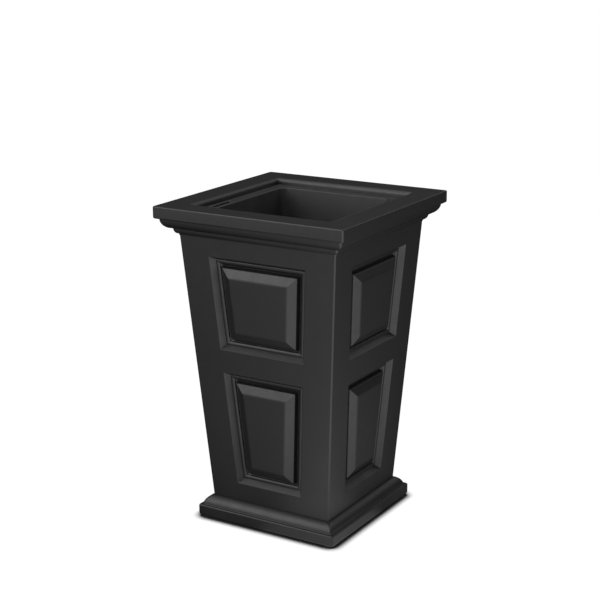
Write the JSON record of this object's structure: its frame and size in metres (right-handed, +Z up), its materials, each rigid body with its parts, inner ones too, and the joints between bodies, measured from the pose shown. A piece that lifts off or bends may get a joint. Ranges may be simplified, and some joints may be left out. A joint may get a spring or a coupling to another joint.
{
  "type": "tall planter",
  "caption": "Tall square tapered planter in black moulded resin with a stepped crown, raised panels and a plinth, and a lift-out liner over a plugged water pan.",
  "frame": {"origin": "on the floor under the middle of the planter", "axes": "+Z up the planter; the front face looks along -Y and the right-hand face along +X"},
  "size_m": [0.397, 0.397, 0.61],
  "materials": {
    "black_resin": "satin black with a fine moulded grain",
    "liner_resin": "satin black",
    "grid_resin": "matte dark grey",
    "pan_resin": "matte black",
    "plug_plastic": "smooth dark grey",
    "rubber": "matte black rubber",
    "screw_steel": "plain stainless steel"
  },
  "bodies": {
    "planter": {"crown_rim": "black_resin", "body_shell": "black_resin", "base_plinth": "black_resin", "floor_pan": "pan_resin", "crown_screws": "screw_steel", "plinth_screws": "screw_steel", "foot_pads": "rubber"},
    "liner": {"planting_liner": "liner_resin"},
    "grid": {"drain_grid": "grid_resin"},
    "plug": {"drain_plug": "plug_plastic", "drain_seal": "rubber"}
  },
  "joints": [
    {"name": "liner_lift", "type": "slide", "parent": "planter", "child": "liner", "axis": [0, 0, 1], "range_m": [0, 0.36]},
    {"name": "grid_lift", "type": "slide", "parent": "liner", "child": "grid", "axis": [0, 0, 1], "range_m": [0, 0.3]},
    {"name": "plug_pull", "type": "slide", "parent": "planter", "child": "plug", "axis": [0, 0, 1], "range_m": [0, 0.06]}
  ]
}
